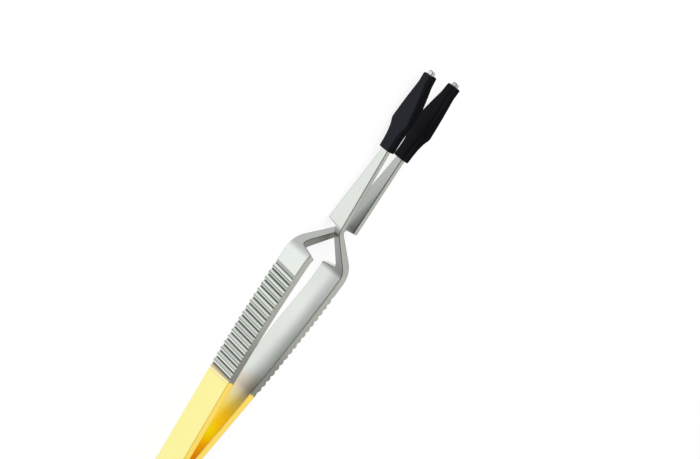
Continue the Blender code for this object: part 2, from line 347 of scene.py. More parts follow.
# Polish of both metals: brushing and clouding on the flat map, and what they do to the surface
BRUSHING = (1.6, 70.0, 1.0)
BRUSHED_ROUGHNESS = 0.08
BRUSHED_BUMP, BRUSHED_DEPTH = 0.012, 0.02 * MM
CLOUDING = 1.6
CLOUDED_ROUGHNESS = 0.05

# Gold plate. Its roughness is that of the cut edges, then what the outer and the inner face add
GOLD_TONES = (1.0, 0.91, 0.34, 1.0), (1.0, 0.95, 0.40, 1.0)
GOLD_CUT_TONE = (0.98, 0.71, 0.135, 1.0)
# The rounded rims of the plating get a darker line of painted shade
GOLD_RIM_SHADE_TONE = (0.80, 0.52, 0.12, 1.0)
GOLD_RIM_SHADE_SHARE = 0.15
GOLD_ROUGHNESS = 0.05, 0.13, 0.14
PLATING_END = 1.0 * MM
PLATING_PALE = (0.0, 0.0), (0.42, 0.0), (0.50, 1.0)
PLATING_PALE_TONE = (1.0, 0.92, 0.52, 1.0)
PLATING_LINE = (0.0, 0.0), (0.30, 0.0), (0.36, 1.0), (0.42, 1.0), (0.48, 0.0)
PLATING_LINE_TONE = (0.80, 0.56, 0.10, 1.0)

# Inner faces: the plating is painted with light bounced between the arms, a deeper orange with a brighter
# painted glow, and fades out; painted shade darkens both metals towards one edge
INNER_GOLD_BOUNCED_TONES = (1.0, 0.73, 0.07, 1.0), (1.0, 0.85, 0.05, 1.0)
PAINTED_GLOW_PLACE = 33.5 * MM
PAINTED_GLOW_REACH = 5.0 * MM
INNER_FADE = 10.0 * MM
WARM_STEEL = (0.76, 0.67, 0.53, 1.0)
WARM_REACH = 0.7 * INNER_FADE
INNER_SHADE_SPAN = 110.0 * MM
INNER_SHADE_DEPTHS = ((0.345, 0.0), (0.38, 0.12), (0.43, 0.27), (0.455, 0.50), (0.49, 0.52), (0.53, 0.38),
               (0.60, 0.36), (0.73, 0.43), (0.82, 0.31), (0.95, 0.0))
INNER_SHADE_LIFT = 3.0 * MM
INNER_SHADE_LIFT_REACH = 20.0 * MM

# Steel: levels of painted shade at four places along the grip, two at its bend, three at the jaw's root and
# one at the collar
GRIP_LEVEL_PLACES = 0.0, 10 * MM, 17 * MM, 28 * MM
BEND_LEVEL_PLACES = -2 * MM, -0.5 * MM
ROOT_LEVEL_PLACES = -1 * MM, 0.0, 3 * MM
OUTER_SHADE_LEVELS = 1.0, 1.0, 1.0, 1.0, 1.0, 0.57, 0.51, 0.36, 0.48, 0.59
INNER_SHADE_LEVELS = 0.95, 0.90, 0.91, 0.95, 0.88, 0.37, 0.34, 0.91, 0.91, 0.91
CUT_SHADE_LEVELS = 0.48, 0.52, 0.73, 0.83, 0.95, 0.95, 0.95, 0.95, 1.0, 1.0
RIM_SHADE_LEVELS = 0.75, 0.75, 0.75, 0.75, 0.8, 1.0, 1.0, 1.0, 1.0, 1.0
STEEL_TONES = (0.82, 0.86, 0.82, 1.0), (0.86, 0.90, 0.86, 1.0)
# Colour of the painted shade along the steel's rounded rims
STEEL_RIM_SHADE_TONE = (0.075, 0.072, 0.066, 1.0)
STEEL_ROUGHNESS = 0.34, -0.13, -0.15
CUT_TINT = (1.0, 0.98, 0.92, 1.0)
SHEARING = (64.0, 7.0, 1.0)
SHEARED_LEAST, SHEARED_MORE = 0.7, 0.6
NOTCH_SHADE = 0.45
NOTCH_SHADE_FADE = 2 * MM
NOTCH_SHADE_FROM = -2.5 * MM

# Ribs: painted shade in the grooves and painted highlights on the flanks, as levels across one of them at
# the rear and the front of the grip; painted shade on the ramps beside them, the one behind them darker
# towards the first groove and warm towards the plating
REAR_RIB_SHADING = ((0.0, 0.09), (0.08, 0.11), (0.13, 0.5), (0.20, 0.90), (0.44, 0.90), (0.49, 0.26),
                   (0.57, 0.26), (0.62, 0.68), (0.86, 0.68), (0.92, 0.18), (1.0, 0.09))
FRONT_RIB_SHADING = ((0.0, 0.09), (0.08, 0.11), (0.13, 0.4), (0.20, 0.66), (0.40, 0.66), (0.46, 0.24),
                    (0.54, 0.24), (0.60, 0.90), (0.84, 0.90), (0.92, 0.18), (1.0, 0.09))
RIB_TINT = (0.94, 1.0, 0.93, 1.0)
RIB_UNEVENNESS = 0.16
RIB_MARGIN = 0.1 * MM
LAST_PHASE = RIB_COUNT - 0.001
RAMP_SHADE_TONES = (0.20, 0.175, 0.165, 1.0), (0.88, 0.71, 0.42, 1.0)
FRONT_RAMP_SHADE = (0.46, 0.46, 0.46, 1.0)

# Rubber, painted lighter on its broad outer face and with painted shade on the rest, and weld metal
RUBBER_LIT_PATCH_TONES = (0.008, 0.0085, 0.012, 1.0), (0.012, 0.0125, 0.017, 1.0)
RUBBER_SHADED_TONE = (0.001, 0.001, 0.0018, 1.0)
RUBBER_GRAIN, RUBBER_PATCHES = 2600.0, 260.0
RUBBER_BUMP, RUBBER_DEPTH = 0.25, 0.03 * MM
RUBBER_ROUGHNESS, PATCH_ROUGHNESS, GRAIN_ROUGHNESS = 0.36, 0.16, 0.08
RUBBER_SHINE, RUBBER_SHINE_TINT = 0.1, (0.82, 0.88, 1.0, 1.0)
WELD_TONES = (0.40, 0.38, 0.35, 1.0), (0.60, 0.59, 0.56, 1.0)
WELD_CELLS = 3000.0
WELD_ROUGHNESS, CELL_ROUGHNESS = 0.38, 0.2


def new_finish(name, **constants):
    """Material with a Principled shader, its nodes, and the values that are the same all over it."""
    material = bpy.data.materials.new(name)
    material.use_nodes = True
    shader = material.node_tree.nodes["Principled BSDF"]
    for socket, value in constants.items():
        shader.inputs[socket.replace("_", " ").title().replace("Ior", "IOR")].default_value = value
    return material, Nodes(material.node_tree), shader.inputs


def strip_places(nodes):
    """Flat map of a strip, and the distances along it and up it."""
    flat = nodes.add("ShaderNodeUVMap", {"uv_map": "strip"})
    apart = nodes.add("ShaderNodeSeparateXYZ", (), {0: flat})
    return flat, apart.out("X") * CENTIMETRE, apart.out("Y") * CENTIMETRE


def strip_polish(nodes, flat):
    """Fine brushing along a strip and slow clouding of its polish."""
    grain = nodes.mottle(nodes.stretched(flat, BRUSHING), scale=1.0, detail=3.0)
    cloud = nodes.mottle(flat, CLOUDING, detail=2.0)
    return grain, cloud


def inner_painted_shade(nodes, along, up):
    """Painted shade on an inner face, as the share of light it keeps: it darkens towards the blank's lower
    edge.
    """
    lift = INNER_SHADE_LIFT * (1.0 - (along - PLATED_LENGTH) / INNER_SHADE_LIFT_REACH).clamp()
    edgeward = ((lift - up) / (lift + HALF_WIDTH)).clamp().smooth()
    return 1.0 - edgeward * nodes.ramped(along / INNER_SHADE_SPAN, INNER_SHADE_DEPTHS)


def join_polished(nodes, inputs, tone, polish, faces, roughness):
    """Joins a strip's colour to its shader, with the roughness and the relief of its polish."""
    (grain, cloud), (outer, inner) = polish, faces
    on_cut, on_outer, on_inner = roughness
    rough = on_cut + on_outer * outer + on_inner * inner
    nodes.join(tone, inputs["Base Color"])
    nodes.join(rough + BRUSHED_ROUGHNESS * grain + CLOUDED_ROUGHNESS * cloud, inputs["Roughness"])
    nodes.join(nodes.bump(grain, BRUSHED_BUMP, BRUSHED_DEPTH), inputs["Normal"])


def gold_plate():
    material, nodes, inputs = new_finish("gold_plate_polished", metallic=1.0)
    flat, along, up = strip_places(nodes)
    grain, cloud = strip_polish(nodes, flat)
    outer, inner, rim = (nodes.mark(name) for name in FACE_MARKS)
    tone = nodes.blend(cloud, *GOLD_TONES)

    to_end = (along - (PLATED_LENGTH - PLATING_END)) / PLATING_END
    tone = nodes.blend(outer * nodes.ramped(to_end, PLATING_PALE), tone, PLATING_PALE_TONE)
    tone = nodes.blend(outer * nodes.ramped(to_end, PLATING_LINE), tone, PLATING_LINE_TONE)

    fade = ((along - (PLATED_LENGTH - INNER_FADE)) / INNER_FADE).clamp()
    fade = fade * fade
    # Painted light on the inner plating: a deeper orange for light bounced between the arms, brightest in a
    # painted glow around one place
    glow = (1.0 - (along - PAINTED_GLOW_PLACE).math("ABSOLUTE") / PAINTED_GLOW_REACH).clamp().smooth()
    tone = nodes.blend(inner * (1.0 - fade), tone, nodes.blend(glow, *INNER_GOLD_BOUNCED_TONES))
    tone = nodes.blend(inner * fade, tone, WARM_STEEL)
    # Painted shade: the inner face darkens towards one edge
    tone = nodes.tinted(tone, nodes.blend(inner, grey(1.0), inner_painted_shade(nodes, along, up)))

    tone = nodes.blend((1.0 - outer - inner).clamp(), tone, GOLD_CUT_TONE)
    # Painted shade: a darker line along the rounded rims
    tone = nodes.blend(rim * GOLD_RIM_SHADE_SHARE, tone, GOLD_RIM_SHADE_TONE)
    join_polished(nodes, inputs, tone, (grain, cloud), (outer, inner), GOLD_ROUGHNESS)
    return material


def rib_finish(nodes, along, up):
    """Where the ribs and the ramps beside them lie along the outer face, and their colour, with painted
    shade in the grooves and on the ramps and painted highlights on the flanks.
    """
    phase = (along + RIB_SKEW * (up - STRIP_THICK / 2) - FIRST_GROOVE) / RIB_PITCH
    inside = phase.clamp(0.0, LAST_PHASE)
    beyond = (phase - inside).math("ABSOLUTE") * RIB_PITCH
    behind = phase.math("LESS_THAN", 0.0)
    within = beyond.math("LESS_THAN", RIB_RAMP).math("MAXIMUM", behind)

    across = inside.math("FRACT")
    # Painted shade in the grooves and painted highlights on the flanks, shifting from the rear ribs to the
    # front ones
    rib = nodes.blend((inside / RIB_COUNT).smooth(), nodes.ramped(across, REAR_RIB_SHADING),
                      nodes.ramped(across, FRONT_RIB_SHADING))
    chance = nodes.add("ShaderNodeTexWhiteNoise", {"noise_dimensions": "1D"}, {"W": inside.math("FLOOR")})
    rib = nodes.tinted(rib, nodes.blend(chance, grey(1.0), grey(1.0 - RIB_UNEVENNESS)))
    # Painted shade on the ramp behind the ribs, darker towards the first groove
    painted_light_tone = nodes.blend((beyond / RIB_RAMP).clamp(), *RAMP_SHADE_TONES)
    ramp = nodes.blend(behind, FRONT_RAMP_SHADE, painted_light_tone)
    rib = nodes.blend(beyond.math("GREATER_THAN", RIB_MARGIN), rib, ramp)
    return within, nodes.tinted(rib, RIB_TINT)


def spring_steel(track):
    material, nodes, inputs = new_finish("spring_steel_satin", metallic=1.0)
    flat, along, up = strip_places(nodes)
    grain, cloud = strip_polish(nodes, flat)
    outer, inner, rim = (nodes.mark(name) for name in FACE_MARKS)

    stretches = ((PLATED_LENGTH, GRIP_LEVEL_PLACES), (track.taper, BEND_LEVEL_PLACES),
                 (track.root, ROOT_LEVEL_PLACES), (track.collar, (0.0,)))
    places = [start + offset for start, offsets in stretches for offset in offsets]
    span = along / track.tip

    def at_places(levels):
        return nodes.ramped(span, tuple((s / track.tip, level) for s, level in zip(places, levels)))

    notch = (((along - track.taper) / NOTCH_SHADE_FADE).clamp().smooth()
             * ((track.root - along) / NOTCH_SHADE_FADE).clamp().smooth()
             * up.math("GREATER_THAN", NOTCH_SHADE_FROM))
    sheared = nodes.mottle(nodes.stretched(flat, SHEARING), scale=1.0, detail=3.0)
    # Painted shade: the cut edges, the outer face and the inner face are darkened by place along the strip,
    # most at the neck and the jaw's root
    cuts = at_places(CUT_SHADE_LEVELS) * (1.0 - NOTCH_SHADE * notch) * (SHEARED_LEAST + SHEARED_MORE * sheared)
    level = nodes.blend(outer, nodes.tinted(cuts, CUT_TINT), at_places(OUTER_SHADE_LEVELS))
    # Painted shade also darkens the inner face towards one edge
    level = nodes.blend(inner, level, at_places(INNER_SHADE_LEVELS) * inner_painted_shade(nodes, along, up))
    warm = (1.0 - (along - PLATED_LENGTH) / WARM_REACH).clamp().smooth()
    tone = nodes.blend(inner * warm, nodes.blend(cloud, *STEEL_TONES), WARM_STEEL)
    tone = nodes.tinted(tone, level)

    within, rib = rib_finish(nodes, along, up)
    ribbed = outer * within
    tone = nodes.blend(ribbed, tone, rib)
    # Painted shade: a dark line along the rounded rims, left off the ribs
    shaded = rim * (1.0 - 2.0 * ribbed).clamp() * at_places(RIM_SHADE_LEVELS)
    tone = nodes.blend(shaded, tone, STEEL_RIM_SHADE_TONE)
    join_polished(nodes, inputs, tone, (grain, cloud), (outer, inner), STEEL_ROUGHNESS)
    return material


def black_rubber():
    material, nodes, inputs = new_finish("black_rubber_moulded", specular_ior_level=RUBBER_SHINE,
                                         specular_tint=RUBBER_SHINE_TINT)
    place = nodes.add("ShaderNodeTexCoord", out="Object")
    fine = nodes.mottle(place, RUBBER_GRAIN, detail=4.0)
    patch = nodes.mottle(place, RUBBER_PATCHES, detail=2.0)
    painted_light_tone = nodes.blend(patch, *RUBBER_LIT_PATCH_TONES)
    # Painted light: the broad outer face gets the lighter, patchy tones; the sides and the inner face get a
    # near-black painted shade
    nodes.join(nodes.blend(nodes.mark("broad_face"), RUBBER_SHADED_TONE, painted_light_tone), inputs["Base Color"])
    rough = RUBBER_ROUGHNESS + PATCH_ROUGHNESS * patch + GRAIN_ROUGHNESS * fine
    nodes.join(rough, inputs["Roughness"])
    nodes.join(nodes.bump(fine, RUBBER_BUMP, RUBBER_DEPTH), inputs["Normal"])
    return material


def weld_metal():
    material, nodes, inputs = new_finish("weld_metal_fused", metallic=1.0)
    place = nodes.add("ShaderNodeTexCoord", out="Object")
    cell = nodes.add("ShaderNodeTexVoronoi", (), {"Vector": place, "Scale": WELD_CELLS})
    nodes.join(nodes.blend(cell, *WELD_TONES), inputs["Base Color"])
    nodes.join(WELD_ROUGHNESS + CELL_ROUGHNESS * cell, inputs["Roughness"])
    return material


# The flat blank of a strip


def rows(height, count, first, last):
    """Heights across a band, with room beside its first and last for the rounding of an edge."""
    first, last = min(first, ROOM_LIMIT * height), min(last, ROOM_LIMIT * height)
    return np.concatenate(([0.0], np.linspace(first, height - last, count), [height]))


def spaced(stretches):
    """Places along stretches, each given by its two ends and the count of places in it."""
    return np.concatenate([np.linspace(first, last, count, endpoint=False)
                           for first, last, count in stretches])


def on_round(out, up, radius):
    """How far a point of a square corner lies from the round's centre, once it is moved onto the round."""
    return radius * out * math.sqrt(1 - up * up / 2), radius * up * math.sqrt(1 - out * out / 2)


class Blank:
    """Outline of the flat strip and the grid of points on it."""

    def __init__(self, track):
        self.track = track
        collar_half, tip_half = JAW_COLLAR_WIDTH / 2, JAW_TIP_WIDTH / 2
        rate = (HALF_WIDTH - collar_half) / (track.collar - track.taper)
        root_half = collar_half + rate * (track.collar - track.root)
        taper_x, root_x, self.collar_x = (track.x_at(s) for s in (track.taper, track.root, track.collar))
        shoulder_x = track.x_at(PLATED_LENGTH) + GRIP_LENGTH
        self.mouth_x = shoulder_x + NOTCH_LENGTH
        slope = (root_half - collar_half) / (self.collar_x - root_x)
        mouth_half = collar_half + slope * (self.collar_x - self.mouth_x)
        self.low_x = (0.0, taper_x, root_x, self.collar_x, track.end)
        self.low_w = (-HALF_WIDTH, -HALF_WIDTH, -root_half, -collar_half, -tip_half)
        self.top_x = (self.mouth_x, self.collar_x, track.end)
        self.top_w = (mouth_half, collar_half, tip_half)
        shoulder, mouth = math.tan(SHOULDER_SWEEP), math.tan(MOUTH_SWEEP)
        self.shoulder_column = shoulder_x + shoulder * HALF_WIDTH
        self.mouth_column = self.mouth_x - mouth * mouth_half
        plated_x, ribs_x, ribs_end_x = (track.x_at(s) for s in (PLATED_LENGTH, FIRST_GROOVE, RIBS_END))
        self.lean_x = (plated_x, ribs_x, ribs_end_x, self.shoulder_column, self.mouth_column,
                       self.mouth_column + MOUTH_FADE)
        self.lean_w = (0.0, -RIB_SKEW, -RIB_SKEW, -shoulder, mouth, 0.0)
        low = float(np.interp(self.mouth_x, self.low_x, self.low_w))
        self.neck_share = (-NECK_CLEARANCE - low) / (mouth_half - low)

    def columns(self):
        """Distances from the tail at which the grid crosses the strip's middle line."""
        x_at, room, corner = self.track.x_at, NOTCH_ROOM, CORNER_STRETCH
        plated, ribs, ribs_end = x_at(PLATED_LENGTH), x_at(FIRST_GROOVE), x_at(RIBS_END)
        smooth, neck, jaw = x_at(RIBS_END + RIB_RAMP), self.shoulder_column, self.mouth_column
        collar, end = self.collar_x, self.track.end
        rear = [(0.0, EDGE_ROOM, 1), (EDGE_ROOM, SEAM_LENGTH, 30), (SEAM_LENGTH, FLEX_END, 18),
                (FLEX_END, plated - room, 14), (plated - room, plated, 3), (plated, ribs, 8)]
        ribbed = np.linspace(FIRST_GROOVE, RIBS_END, RIB_COUNT * RIB_COLUMNS, endpoint=False)
        front = [(ribs_end, smooth, 8), (smooth, neck - room, 16), (neck - room, neck, 1),
                 (neck, neck + corner, 8), (neck + corner, jaw - corner, 26), (jaw - corner, jaw, 8),
                 (jaw, jaw + room, 1), (jaw + room, jaw + MOUTH_STRETCH, 18),
                 (jaw + MOUTH_STRETCH, collar, 16), (collar, end - TIP_STRETCH, 20),
                 (end - TIP_STRETCH, end - room, 4), (end - room, end, 1)]
        return np.concatenate((spaced(rear), [x_at(s) for s in ribbed], spaced(front), [end]))

    def top(self, x, on_jaw):
        if not on_jaw and x < self.mouth_x - MOUTH_MARGIN:
            return HALF_WIDTH
        return float(np.interp(x, self.top_x, self.top_w))

    def column(self, middle):
        """Points of one column, from the lower edge up: distance from the tail and height."""
        lean = float(np.interp(middle, self.lean_x, self.lean_w))
        on_jaw = middle >= self.mouth_column - TOUCH
        low = top = 0.0
        for _ in range(EDGE_PASSES):
            low = float(np.interp(middle + lean * low, self.low_x, self.low_w))
            top = self.top(middle + lean * top, on_jaw)
        between = low + (top - low) * self.neck_share if on_jaw else -NECK_CLEARANCE
        lower = low + rows(between - low, LOW_ROWS, EDGE_ROOM, NOTCH_ROOM)
        upper = between + rows(top - between, HIGH_ROWS, NOTCH_ROOM, EDGE_ROOM)
        return [(middle + lean * w, w) for w in np.concatenate((lower, upper[1:]))]

    def rounded(self, x, w):
        """The point with the tail's and the tip's corners rounded."""
        side, height, end = math.copysign(1.0, w), abs(w), self.track.end
        radius = TAIL_CORNER_RADIUS
        if x < radius and height > HALF_WIDTH - radius:
            run, rise = on_round((radius - x) / radius, (height - HALF_WIDTH + radius) / radius, radius)
            return radius - run, side * (HALF_WIDTH - radius + rise)
        radius, half = JAW_TIP_RADIUS, JAW_TIP_WIDTH / 2
        if x > end - radius and height > half - radius:
            up = min(1.0, (height - half + radius) / radius)
            run, rise = on_round((x - end + radius) / radius, up, radius)
            return end - radius + run, side * (half - radius + rise)
        return x, w

    def fillets(self):
        """Corner of the notch, the directions of its two edges and half the angle between, for both ends."""
        ends = []
        for x, lean, ahead in ((self.shoulder_column, -math.tan(SHOULDER_SWEEP), 1.0),
                               (self.mouth_column, math.tan(MOUTH_SWEEP), -1.0)):
            corner = Vector((x - lean * NECK_CLEARANCE, -NECK_CLEARANCE))
            up, along = Vector((lean, 1.0)).normalized(), Vector((ahead, 0.0))
            ends.append((corner, up, along, up.angle(along) / 2))
        return ends

    def filleted(self, x, w):
        """A point of the notch's edge, moved onto the round in its corner."""
        point = Vector((x, w))
        for corner, up, along, half in self.fillets():
            reach = NOTCH_FILLET / math.tan(half)
            rise, run = (point - corner).dot(up), (point - corner).dot(along)
            distance = (point - corner).length
            if distance >= reach:
                continue
            share = distance if rise > run else -distance
            if distance < TOUCH:
                share = 0.0
            centre = corner + (up + along).normalized() * (NOTCH_FILLET / math.sin(half))
            first, last = corner + along * reach - centre, corner + up * reach - centre
            swing = math.atan2(first.cross(last), first.dot(last))
            point = centre + Matrix.Rotation(swing * (share / reach + 1) / 2, 2) @ first
            return point.x, point.y
        return x, w

    def mesh(self):
        """The blank as a closed shell with rounded edges, and its faces marked."""
        work = bmesh.new()
        middles = self.columns()
        first, last = (int(np.argmin(abs(middles - x))) for x in (self.shoulder_column, self.mouth_column))
        joint = LOW_ROWS + 1
        grid = []
        for index, middle in enumerate(middles):
            line = []
            for row, (x, w) in enumerate(self.column(middle)):
                if first < index < last and row > joint:
                    break
                if (first <= index <= last and row == joint) or (index in (first, last) and row >= joint):
                    x, w = self.filleted(x, w)
                x, w = self.rounded(x, w)
                s = float(self.track.length_at(x))
                line.append(work.verts.new((s, self.track.thick(s) / 2, w)))
            grid.append(line)
        for line, following in zip(grid, grid[1:]):
            for row in range(min(len(line), len(following)) - 1):
                work.faces.new((line[row], line[row + 1], following[row + 1], following[row]))
        for made in bmesh.ops.extrude_face_region(work, geom=list(work.faces))["geom"]:
            if isinstance(made, bmesh.types.BMVert):
                made.co.y = -made.co.y
        bmesh.ops.recalc_face_normals(work, faces=work.faces)
        sharp = [edge for edge in work.edges if edge.calc_face_angle(0.0) > SHARP_ANGLE]
        bmesh.ops.bevel(work, geom=sharp, offset=EDGE_RADIUS, offset_type="OFFSET", segments=3, profile=0.5,
                        affect="EDGES", clamp_overlap=False)
        self.mark_faces(work)
        return work

    @staticmethod
    def mark_faces(work):
        """Marks how far each point belongs to the outer face, the inner face and the rounded rims, where
        shade is painted.
        """
        work.normal_update()
        outer, inner, rim = (work.verts.layers.float.new(name) for name in FACE_MARKS)
        for vert in work.verts:
            facing = vert.normal.y
            vert[outer], vert[inner] = max(0.0, facing) ** FACE_FALLOFF, max(0.0, -facing) ** FACE_FALLOFF
            vert[rim] = min(1.0, RIM_GAIN * facing ** 2 * (1 - facing ** 2))


def press_tail(work):
    """Spot-weld dimples in the outer face of the tail, and the seam drawn shut."""
    inner = -STRIP_THICK / 2
    for vert in work.verts:
        s, across, w = vert.co
        if s > SEAM_LENGTH + SEAM_FADE:
            continue
        if across > 0:
            for place in WELD_PLACES:
                reach = math.hypot(s - place, w) / WELD_DIMPLE_RADIUS
                if reach < 1:
                    vert.co.y -= WELD_DIMPLE_DEPTH * (1 - reach ** 2) ** WELD_DIMPLE_ROUND
        else:
            fade = clamped((SEAM_LENGTH + SEAM_FADE_PAST - s) / SEAM_FADE)
            vert.co.y -= (SEAM_GAP - SEAM_LINE) / 2 * fade * across / inner


def stretch_of(work, name, first, last):
    """Mesh of the part of a blank between two developed lengths, closed at the cuts, with its flat map."""
    part = work.copy()
    away = [face for face in part.faces if not first < face.calc_center_median().x < last]
    bmesh.ops.delete(part, geom=away, context="FACES")
    loose = [edge for edge in part.edges if edge.is_boundary]
    for edge in loose:
        edge.smooth = False
    if loose:
        bmesh.ops.holes_fill(part, edges=loose, sides=0)
    bmesh.ops.recalc_face_normals(part, faces=part.faces)
    flat = part.loops.layers.uv.new("strip")
    for face in part.faces:
        face.smooth = True
        for loop in face.loops:
            s, across, w = loop.vert.co
            loop[flat].uv = (s / CENTIMETRE, (w + across) / CENTIMETRE)
    mesh = bpy.data.meshes.new(name)
    part.to_mesh(mesh)
    part.free()
    return mesh


# Pressing and bending a blank

PRESS_SIZES = {"First Groove": FIRST_GROOVE, "Rib Pitch": RIB_PITCH, "Rib Count": float(RIB_COUNT),
               "Rib Skew": RIB_SKEW, "Rib Ramp": RIB_RAMP, "Rib Rise": RIB_RISE, "Rib Sink": RIB_SINK,
               "Half Thickness": STRIP_THICK / 2, "Half Width": HALF_WIDTH, "Twist Place": TWIST_PLACE,
               "Twist Reach": TWIST_REACH}


def press_and_bend():
    """Tree that presses the ribs into a blank's outer face, twists its grip and bends it along a path."""
    tree = bpy.data.node_groups.new("press_and_bend", "GeometryNodeTree")
    tree.is_modifier = True
    kinds = {"Blank": "Geometry", "Path": "Object", **dict.fromkeys(PRESS_SIZES, "Float"), "Twist": "Float",
             "Finish": "Material"}
    for name, kind in kinds.items():
        tree.interface.new_socket(name, in_out="INPUT", socket_type="NodeSocket" + kind)
    tree.interface.new_socket("Strip", in_out="OUTPUT", socket_type="NodeSocketGeometry")
    nodes = Nodes(tree)
    given = nodes.add("NodeGroupInput").out

    place = nodes.add("ShaderNodeSeparateXYZ", (), {0: nodes.add("GeometryNodeInputPosition")})
    along, across, up = place.out("X"), place.out("Y"), place.out("Z")
    phase = (along + given("Rib Skew") * up - given("First Groove")) / given("Rib Pitch")
    inside = phase.clamp(0.0, given("Rib Count"))
    beyond = (phase - inside).math("ABSOLUTE") * given("Rib Pitch")
    ramp = (1.0 - beyond / given("Rib Ramp")).clamp().smooth()
    profile = nodes.add("ShaderNodeFloatCurve", {"curve": RIB_PROFILE}, {"Value": inside.math("FRACT")})
    height = (profile * (given("Rib Rise") + given("Rib Sink")) - given("Rib Sink")) * ramp
    pressed = height * (across / given("Half Thickness")).clamp()
    away = (along - given("Twist Place")).math("ABSOLUTE")
    twisted = given("Twist") * (1.0 - away / given("Twist Reach")).clamp().smooth()
    inwards = twisted * (up + given("Half Width"))

    path = nodes.add("GeometryNodeObjectInfo", (), {"Object": given("Path")}, out="Geometry")
    sample = nodes.add("GeometryNodeSampleCurve", {"mode": "LENGTH"}, {"Curves": path, "Length": along})
    left = nodes.vectors("CROSS_PRODUCT", (0.0, 0.0, 1.0), sample.out("Tangent"))
    aside = nodes.add("ShaderNodeVectorMath", {"operation": "SCALE"},
                      {0: left, "Scale": across + pressed - inwards})
    lifted = nodes.add("ShaderNodeCombineXYZ", (), {"Z": up})
    bent = nodes.vectors("ADD", nodes.vectors("ADD", sample.out("Position"), aside), lifted)

    moved = nodes.add("GeometryNodeSetPosition", (), {"Geometry": given("Blank"), "Position": bent})
    plain = nodes.add("GeometryNodeRealizeInstances", (), {"Geometry": moved})
    done = nodes.add("GeometryNodeSetMaterial", (), {"Geometry": plain, "Material": given("Finish")})
    nodes.add("NodeGroupOutput", (), {"Strip": done})
    return tree


def placed(name, data):
    """New object at the origin."""
    item = bpy.data.objects.new(name, data)
    bpy.context.scene.collection.objects.link(item)
    return item


def path_curve(track):
    """Curve of a strip's mid-plane, for the tree to bend along."""
    curve = bpy.data.curves.new("strip_path", "CURVE")
    curve.dimensions = "3D"
    line = curve.splines.new("POLY")
    points = track.beside(np.arange(0.0, track.tip + PATH_SPARE, PATH_STEP), 0.0, 0.0)
    line.points.add(len(points) - 1)
    for point, (x, y, z) in zip(line.points, points):
        point.co = (x, y, z, 1.0)
    return placed("strip_path", curve)


def made_plain(name, mesh, tree, values):
    """Piece with the result of a tree as a plain mesh."""
    item = placed(name, mesh)
    modifier = item.modifiers.new(tree.name, "NODES")
    modifier.node_group = tree
    for socket in tree.interface.items_tree:
        if socket.name in values:
            modifier[socket.identifier] = values[socket.name]
    evened = item.modifiers.new("even_shading", "WEIGHTED_NORMAL")
    evened.weight = 80
    evened.keep_sharp = True
    seen = item.evaluated_get(bpy.context.evaluated_depsgraph_get())
    plain = bpy.data.meshes.new_from_object(seen)
    item.modifiers.clear()
    item.data = plain
    plain.name = name
    return item


def set_in_place(item, side):
    """Brings a piece from the strip's own frame to the part's: strip B is strip A turned over."""
    turn = Matrix.Rotation(math.pi if side == "b" else 0.0, 4, "X")
    item.data.transform(Matrix.Translation((-OVERALL_LENGTH / 2, 0.0, HALF_WIDTH)) @ turn)
    item.data.update()


# The rubber boot


def ring(outer, inner, behind, before, radius, hollow=0.0):
    """Round-cornered section of points (across, up): a wide outer face behind, a narrower inner face before,
    and hollow sides between them."""
    corners = [Vector(c) for c in ((-behind, -outer / 2), (before, -inner / 2),
                                   (before, inner / 2), (-behind, outer / 2))]
    arcs = []
    for k, corner in enumerate(corners):
        back = (corners[k - 1] - corner).normalized()
        ahead = (corners[(k + 1) % 4] - corner).normalized()
        half = back.angle(ahead) / 2
        centre = corner + (back + ahead).normalized() * (radius / math.sin(half))
        first = corner + back * (radius / math.tan(half)) - centre
        last = corner + ahead * (radius / math.tan(half)) - centre
        swing = math.atan2(first.cross(last), first.dot(last))
        arcs.append([centre + Matrix.Rotation(swing * j / RING_ARC_STEPS, 2) @ first
                     for j in range(RING_ARC_STEPS + 1)])
    points = []
    for k, arc in enumerate(arcs):
        points += arc
        gap = arcs[(k + 1) % 4][0] - arc[-1]
        for share in np.linspace(0.0, 1.0, RING_SIDE_POINTS)[1:-1]:
            point = arc[-1] + gap * share
            if k % 2 == 0:
                from_outer = share if k == 0 else 1 - share
                dip = math.sin(math.pi * from_outer ** BOOT_HOLLOW_BIAS) ** 2
                point.y -= math.copysign(hollow * dip, point.y)
            points.append(point)
    return points


